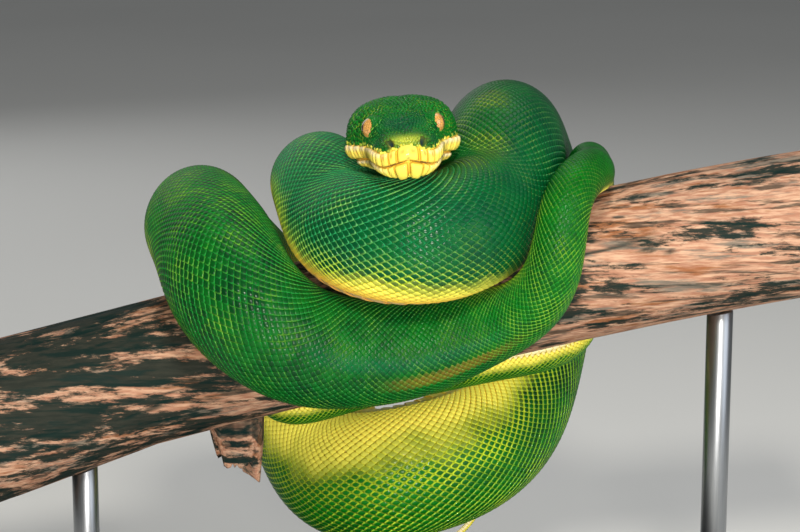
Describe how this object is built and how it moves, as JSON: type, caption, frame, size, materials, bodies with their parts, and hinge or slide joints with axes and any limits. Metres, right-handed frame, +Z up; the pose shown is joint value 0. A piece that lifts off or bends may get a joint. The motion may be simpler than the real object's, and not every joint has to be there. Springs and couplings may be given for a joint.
{
  "type": "green tree python",
  "caption": "Life-size still model of a green tree python coiled over a cut length of branch, head resting on its front coil, on a flat display base with short rods",
  "frame": {"origin": "centre of the underside of the display base", "axes": "+Z up, the snake's face looks along -Y, +X to the animal's left, along the perch"},
  "size_m": [0.3737, 0.19, 0.2383],
  "materials": {
    "skin": "green scales, yellow lips and lower flanks",
    "eye": "glossy",
    "perch_wood": "weathered",
    "stand_base": "painted, satin",
    "stand_rod": "brushed"
  },
  "bodies": {
    "root": {"head": "skin", "lower_jaw": "skin", "eye_left": "eye", "eye_right": "eye", "neck": "skin", "body_1": "skin", "body_2": "skin", "body_3": "skin", "body_4": "skin", "body_5": "skin", "body_6": "skin", "body_7": "skin", "body_8": "skin", "body_9": "skin", "body_10": "skin", "body_11": "skin", "body_12": "skin", "tail_1": "skin", "tail_2": "skin", "perch": "perch_wood", "perch_stub": "perch_wood", "stand_base": "stand_base", "stand_rod_left": "stand_rod", "stand_rod_right": "stand_rod"}
  },
  "joints": []
}
